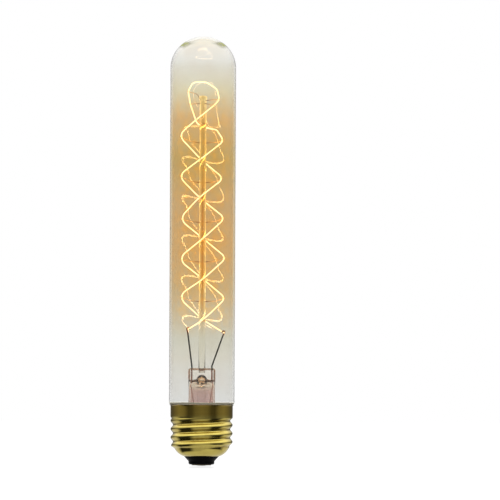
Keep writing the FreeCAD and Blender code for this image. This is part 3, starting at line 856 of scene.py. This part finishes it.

# %% [markdown]
# The amber of such a bulb is a thin coat that is sprayed on, strongest in the middle of
# the tube and fading towards both ends. It could be a skin of its own over the glass, but it is
# thinner than paint, so it is the glass's colour. A Color Ramp over the height gives the fade,
# and a weak tarnish mask makes the coat a little uneven. Near the dome the glass's edge is
# painted dark yellow-green, a painted reflection of the amber tube in the dome's back rim. Just
# above the cap the wall bends in sharply, and the bend gathers light from all round, which a
# faint glow stands for. Beside the hot wire the coat catches some of its light, in spots as uneven
# as the coat.

# %% Amber glass
coat_bottom = 20.0
dome_reflection_bottom = 178.0
dome_reflection_top = 188.0
wire_light_bottom = 55.0
wire_light_top = 165.0
bend_bottom = 26.0
bend_top = 28.0
bend_glow = (0.15, 0.14, 0.105)
amber_glass, tree, shader = clear_glass("amber_glass", 1.45, Emission_Strength=1.0)
coat = color_ramp(
    tree,
    height_share(tree, coat_bottom, bulb_top),
    [
        (0.0, (0.845, 0.86, 0.865)),
        (0.10, (0.845, 0.85, 0.83)),
        (0.156, (0.83, 0.825, 0.775)),
        (0.21, (0.795, 0.79, 0.72)),
        (0.34, (0.76, 0.66, 0.475)),
        (0.44, (0.785, 0.63, 0.405)),
        (0.57, (0.76, 0.625, 0.42)),
        (0.68, (0.73, 0.615, 0.365)),
        (0.78, (0.80, 0.67, 0.465)),
        (0.86, (0.85, 0.82, 0.69)),
        (0.94, (0.89, 0.895, 0.87)),
        (0.968, (0.92, 0.915, 0.88)),
        (1.0, (0.94, 0.92, 0.83)),
    ],
)
uneven = graded(tree, use_group(tree, tarnish, Scale=90.0, Low=0.3, High=0.7), 0.0, 0.5)
coat = mix_colors(tree, uneven, coat, (0.95, 0.9, 0.85), "MULTIPLY")
edge = edge_share(tree)
# painted reflection: near the dome the glass's edge turns dark yellow-green
near_top = height_share(tree, dome_reflection_bottom, dome_reflection_top)
near_top = color_ramp(tree, near_top, [(0.17, 0), (0.29, 1), (0.43, 1), (0.51, 0)])
dome_edge_reflection = times(tree, near_top, between(tree, edge, 0.52, 0.64))
coat = mix_colors(tree, dome_edge_reflection, coat, (0.12, 0.13, 0.0))
wire_light = height_share(tree, wire_light_bottom, wire_light_top)
wire_light = color_ramp(tree, wire_light, [(0.0, 0), (0.12, 1), (0.85, 1), (1.0, 0)])
spots = use_group(tree, tarnish, Scale=330.0, Low=0.46, High=0.62)
lit_spots = times(tree, wire_light, spots, between(tree, edge, 0.2, 0.42, 1.0, 0.0))
coat = mix_colors(tree, lit_spots, coat, (1.0, 0.93, 0.78), "MULTIPLY")
warmth = mix_colors(tree, lit_spots, (0.0, 0.0, 0.0), (0.055, 0.022, 0.0))
bend_stops = [(0.45, 0), (0.54, bend_glow), (0.66, bend_glow), (0.76, 0)]
at_bend = color_ramp(tree, height_share(tree, bend_bottom, bend_top), bend_stops)
feed(tree, shader, Base_Color=coat, Emission_Color=mix_colors(tree, 1.0, at_bend, warmth, "ADD"))

# %% [markdown]
# Seen square on, the stem's glass is clear. At its edges the eye looks along the glass, through
# much more of it, and the cap's brown inside shows there. Colour in the volume would give that
# by itself, but slowly and with grain. Layer Weight's Facing tells how square a surface is
# to the eye, so it darkens the edges. Low down, the glass picks up the pink of the cement
# and copper behind it.

# %% Stem glass
stem_finish, tree, shader = clear_glass("stem_glass", 1.5)
body = color_ramp(
    tree,
    height_share(tree, 26.0, 42.0),
    [
        (0.0, (0.80, 0.665, 0.645)),
        (0.44, (0.84, 0.71, 0.67)),
        (0.52, (0.97, 0.92, 0.84)),
        (0.66, (0.98, 0.94, 0.88)),
        (0.72, (0.99, 0.98, 0.95)),
        (1.0, (0.99, 0.985, 0.96)),
    ],
)
edges = color_ramp(
    tree,
    edge_share(tree),
    [
        (0.0, (1.0, 1.0, 1.0)),
        (0.45, (1.0, 0.97, 0.92)),
        (0.68, (0.62, 0.36, 0.2)),
        (0.82, (0.12, 0.05, 0.02)),
    ],
)
mottle = graded(tree, use_group(tree, tarnish, Scale=700.0, Low=0.35, High=0.7), 0.0, 0.35)
body = mix_colors(tree, mottle, body, (0.93, 0.82, 0.8), "MULTIPLY")
body = mix_colors(tree, 1.0, body, edges, "MULTIPLY")
print("stem glass:", len(tree.nodes), "nodes so far")

# %% [markdown]
# The press's rim and its lower shoulders are brown, and so is a ring round the air hole, where
# the thick rounded glass bends the view towards the cap's inside. The mesh bends light too, but
# its brown came out too weak, so these lines are drawn by place: by height, by the distance to
# either side, and by the distance from the bead's middle as seen from the front.

# %% The press's brown lines
parts = split_xyz(tree, object_place(tree))
sideways = math_node(tree, "ABSOLUTE", parts["X"])
height = parts["Z"]
at_sides = between(tree, sideways, 4.8 * MM, 5.2 * MM)
rim = math_node(tree, "MAXIMUM", at_sides, between(tree, height, 41.0 * MM, 41.4 * MM))
rim = times(tree, rim, between(tree, height, 36.2 * MM, 36.5 * MM))
body = mix_colors(tree, rim, body, (0.13, 0.045, 0.02), "MULTIPLY")
shoulders = times(
    tree,
    between(tree, height, 36.1 * MM, 36.4 * MM),
    between(tree, height, 36.9 * MM, 37.2 * MM, 1.0, 0.0),
    between(tree, sideways, 1.8 * MM, 2.2 * MM),
)
body = mix_colors(tree, shoulders, body, (0.05, 0.015, 0.006), "MULTIPLY")
face_on = new_node(tree, "ShaderNodeCombineXYZ")
tree.links.new(parts["X"], face_on.inputs["X"])
tree.links.new(height, face_on.inputs["Z"])
to_bead = new_node(tree, "ShaderNodeVectorMath", operation="DISTANCE")
tree.links.new(face_on.outputs[0], to_bead.inputs[0])
to_bead.inputs[1].default_value = (0.0, 0.0, bead_height * MM)
ring = color_ramp(
    tree,
    between(tree, to_bead.outputs["Value"], 0.0, 2.5 * MM),
    [
        (0.0, (0.95, 0.60, 0.32)),
        (0.4, (0.75, 0.34, 0.12)),
        (0.62, (0.04, 0.012, 0.004)),
        (0.86, (0.04, 0.012, 0.004)),
        (0.96, (1.0, 1.0, 1.0)),
    ],
)
in_front = between(tree, parts["Y"], -0.8 * MM, -0.4 * MM, 1.0, 0.0)
feed(tree, shader, Base_Color=mix_colors(tree, in_front, body, ring, "MULTIPLY"))
print("stem glass:", len(tree.nodes), "nodes in all")

# %% [markdown]
# The exhaust tube is nearly invisible, a little grey and pink from what it mirrors. The rod is
# as clear as the tube, but the hot wire winds round it and its light runs along the glass: amber
# in the middle, yellow glints near the sides, and cool and plain near the press. Many more light
# paths would find those glints in time. A ramp over Facing draws them at once and without grain.

# %% Tube glass and rod glass
tube_finish, tree, shader = clear_glass("tube_glass", 1.1)
soft = graded(tree, use_group(tree, tarnish, Scale=500.0, Low=0.35, High=0.7), 0.0, 0.3)
feed(tree, shader, Base_Color=mix_colors(tree, soft, (0.97, 0.94, 0.92), (0.93, 0.86, 0.84)))

rod_finish, tree, shader = clear_glass("rod_glass", 1.25, Emission_Strength=1.0)
low_tint = color_ramp(tree, edge_share(tree), [(0.0, (0.96, 0.95, 0.91)), (0.6, (1.0, 0.99, 0.95))])
high_tint = color_ramp(
    tree,
    edge_share(tree),
    [
        (0.0, (0.87, 0.60, 0.26)),
        (0.02, (0.90, 0.66, 0.32)),
        (0.06, (0.97, 0.84, 0.54)),
        (0.18, (0.98, 0.90, 0.64)),
        (0.5, (1.0, 0.96, 0.82)),
    ],
)
near_button = graded(tree, height_share(tree, 116.0, 128.0), 0.0, 0.7)
high_tint = mix_colors(tree, near_button, high_tint, (0.98, 0.90, 0.58))
up_rod = height_share(tree, 55.6, 76.0)
glints = color_ramp(
    tree,
    edge_share(tree),
    [(0.02, 0), (0.10, 0.2), (0.22, 0.12), (0.36, 1), (0.62, 1), (0.75, 0)],
)
uneven = graded(tree, use_group(tree, tarnish, Scale=260.0, Low=0.35, High=0.62), 0.25, 1.0)
glints = times(tree, glints, uneven, up_rod)
feed(
    tree,
    shader,
    Base_Color=mix_colors(tree, up_rod, low_tint, high_tint),
    Emission_Color=mix_colors(tree, glints, (0.0, 0.0, 0.0), (0.55, 0.4, 0.2)),
)

# %% [markdown]
# Brass from the rolling mill shines. Its grooves are dark brown: partly a film that no cloth
# reaches, partly painted shade deep in the thread.
# Pointiness would find the grooves too, but as broad as the mesh makes them, so here
# the distance from the lamp's axis tells groove from crest. Tarnish dulls
# patches, and streaks run round the cap as the rollers did.

# %% Brass
brass, tree, shader = new_finish("rolled_brass", Metallic=1.0)
patches = use_group(tree, tarnish, Scale=320.0, Low=0.42, High=0.7)
lines = use_group(tree, streaks, Scale=900.0, Length=9.0)
# painted shade and film: the thread's grooves darken to brown
in_groove = between(tree, axis_distance(tree), 12.25 * MM, 12.75 * MM, 1.0, 0.0)
below_collar = graded(tree, height_share(tree, 20.5, 21.8), 1.0, 0.0)
above_bottom = height_share(tree, 7.4, 8.6)
groove_film_and_shade = times(tree, in_groove, below_collar, above_bottom, graded(tree, patches, 0.35, 0.8))
clean = mix_colors(tree, lines, (0.68, 0.56, 0.145), (0.58, 0.46, 0.105))
worn = mix_colors(tree, times(tree, patches, 0.45), clean, (0.42, 0.31, 0.08))
on_collar = height_share(tree, 20.9, 22.3)
worn = mix_colors(tree, on_collar, worn, mix_colors(tree, lines, (0.60, 0.43, 0.085), (0.48, 0.335, 0.06)))
on_lip = height_share(tree, 25.8, 26.1)
worn = mix_colors(tree, on_lip, worn, (0.26, 0.19, 0.05))
rough = math_node(tree, "ADD", between(tree, lines, 0.3, 0.7, 0.07, 0.13), times(tree, groove_film_and_shade, 0.2))
feed(tree, shader, Base_Color=mix_colors(tree, groove_film_and_shade, worn, (0.22, 0.14, 0.03)), Roughness=rough)
add_bump(tree, shader, lines, 0.02, 0.35)

# %% [markdown]
# The other pieces of the cap are small, and each still has its own surface: a pressed brass
# plate gone dull, whose dark brown is partly painted shade under the bulb, poured black glass,
# tin solder that froze in ripples, and gritty cement. Each is the same tarnish mask at another
# scale, which costs less than a pattern of its own would.

# %% Contact plate, black glass, solder and cement
# the plate's dark brown is partly dull brass and partly painted shade
dull_shaded_plate, tree, shader = new_finish("contact_brass", Metallic=1.0)
patches = use_group(tree, tarnish, Scale=600.0, Low=0.3, High=0.65)
feed(
    tree,
    shader,
    Base_Color=mix_colors(tree, patches, (0.22, 0.17, 0.07), (0.08, 0.06, 0.03)),
    Roughness=graded(tree, patches, 0.35, 0.6),
)
add_bump(tree, shader, patches, 0.02, 0.5)

black_glass, tree, shader = new_finish("black_glass", Specular_IOR_Level=0.03)
patches = use_group(tree, tarnish, Scale=500.0, Low=0.35, High=0.7)
feed(
    tree,
    shader,
    Base_Color=mix_colors(tree, patches, (0.0012, 0.0012, 0.0016), (0.003, 0.0025, 0.003)),
    Roughness=graded(tree, patches, 0.16, 0.34),
)
add_bump(tree, shader, patches, 0.03, 0.4)

tin, tree, shader = new_finish("tin_solder", Metallic=1.0)
ripples = use_group(tree, tarnish, Scale=900.0, Low=0.3, High=0.7)
feed(
    tree,
    shader,
    Base_Color=mix_colors(tree, ripples, (0.34, 0.34, 0.33), (0.14, 0.14, 0.135)),
    Roughness=graded(tree, ripples, 0.3, 0.55),
)
add_bump(tree, shader, ripples, 0.06, 0.6)

cement_finish, tree, shader = new_finish("cement", Roughness=0.92)
grit = use_group(tree, tarnish, Scale=1500.0, Low=0.35, High=0.65)
feed(tree, shader, Base_Color=mix_colors(tree, grit, (0.50, 0.41, 0.32), (0.36, 0.28, 0.21)))
add_bump(tree, shader, grit, 0.08, 0.8)

# %% [markdown]
# The leads are drawn nickel wire, dark with oxide and rusty red where they are hot. The wires
# through the press are copper, which seals to glass. The anchors are of a metal that turned dark
# red in the heat. Near the filament they are painted lighter and glowing: painted light from the
# hot wire. True heat and light would need a simulation, so the distance from the axis or the
# height stands for them.

# %% Wires
nickel, tree, shader = new_finish("dull_nickel", Metallic=0.3, Specular_IOR_Level=0.25)
drawn = use_group(tree, tarnish, Scale=1200.0, Low=0.3, High=0.7)
dark = mix_colors(tree, drawn, (0.016, 0.015, 0.008), (0.008, 0.007, 0.004))
hot = height_share(tree, 55.5, 58.0)
feed(
    tree,
    shader,
    Base_Color=mix_colors(tree, hot, dark, (0.16, 0.05, 0.02)),
    Roughness=graded(tree, drawn, 0.4, 0.6),
)

copper, tree, shader = new_finish("copper", Metallic=1.0)
drawn = use_group(tree, tarnish, Scale=900.0, Low=0.35, High=0.7)
feed(
    tree,
    shader,
    Base_Color=mix_colors(tree, drawn, (0.62, 0.26, 0.14), (0.33, 0.12, 0.06)),
    Roughness=graded(tree, drawn, 0.25, 0.5),
)

dark_red_wire, tree, shader = new_finish(
    "dark_red_wire", Metallic=0.3, Roughness=0.5, Emission_Strength=1.0
)
tone = use_group(tree, tarnish, Scale=1200.0, Low=0.35, High=0.7)
cold = mix_colors(tree, tone, (0.20, 0.045, 0.02), (0.10, 0.02, 0.012))
# painted light: near the filament the anchors turn lighter and glow
near_wire = between(tree, axis_distance(tree), 2.2 * MM, 5.0 * MM)
feed(
    tree,
    shader,
    Base_Color=mix_colors(tree, near_wire, cold, (0.7, 0.4, 0.16)),
    Emission_Color=mix_colors(tree, near_wire, (0.03, 0.0, 0.0), (0.48, 0.27, 0.1)),
)

# %% [markdown]
# The filament is a bare wire at yellow heat. A lens shows it pale because it is far brighter
# than white, and its mirror images in the glass still look orange and bright. One strength
# can't do both, because a picture clips what is brighter than white. The Light
# Path node counts the faces of glass that a ray met on its way. Straight through walls and
# rod they come in pairs, and there the wire has the strength that a picture can hold. A
# mirror image adds one face, and there the wire keeps its true strength.
# Its ends are cooler where the leads draw heat away.

# %% The glowing wire
glow_finish, tree, shader = new_finish(
    "glowing_wire", Base_Color=(0.3, 0.15, 0.05, 1.0), Emission_Strength=2.6
)
heat = use_group(tree, tarnish, Scale=120.0, Low=0.3, High=0.7)
seen_color = mix_colors(tree, heat, (1.0, 0.9, 0.64), (1.0, 0.85, 0.55))
seen_color = mix_colors(tree, height_share(tree, 62.0, 90.0), (1.0, 0.78, 0.42), seen_color)
seen_color = mix_colors(tree, height_share(tree, 55.0, 60.0), (0.9, 0.62, 0.3), seen_color)
top_loop = height_share(tree, 144.0, 156.0)
seen_color = mix_colors(tree, top_loop, seen_color, (0.92, 0.76, 0.4))
mirror_color = mix_colors(tree, top_loop, (7.0, 5.0, 3.0), (3.0, 2.2, 1.3))
faces_met = new_node(tree, "ShaderNodeLightPath").outputs["Ray Depth"]
odd = math_node(tree, "GREATER_THAN", math_node(tree, "MODULO", faces_met, 2.0), 0.5)
through_rod = math_node(tree, "GREATER_THAN", faces_met, 3.5)
seen_color = mix_colors(tree, through_rod, seen_color, (1.5, 1.1, 0.52))
feed(tree, shader, Emission_Color=mix_colors(tree, odd, seen_color, mirror_color))

# %% [markdown]
# Each construction solid that stays takes the finish of its material slot. The new pieces
# take theirs by name, because the exhaust tube shares its slot with the stem and not its finish.

# %% Hand out the finishes
finishes = {
    "bulb_glass": amber_glass,
    "shell_brass": brass,
    "cement": cement_finish,
    "black_glass": black_glass,
    "contact_brass": dull_shaded_plate,
    "solder": tin,
    "stem_glass": stem_finish,
    "rod_glass": rod_finish,
    "filament": glow_finish,
    "lead_nickel": nickel,
    "copper_wire": copper,
    "anchor_wire": dark_red_wire,
}
slot_of = {part["node"]: part["material_slot"] for part in frame["record"]["subparts"]}
for name, node in nodes.items():
    node.data.materials.clear()
    node.data.materials.append(finishes[slot_of[name]])
for piece, finish in (
    (glass_bulb, amber_glass),
    (brass_shell, brass),
    (black_insulator, black_glass),
    (stem, stem_finish),
    (glass_rod, rod_finish),
    (exhaust, tube_finish),
):
    piece.data.materials.append(finish)
print("finishes by slot:", len(finishes))
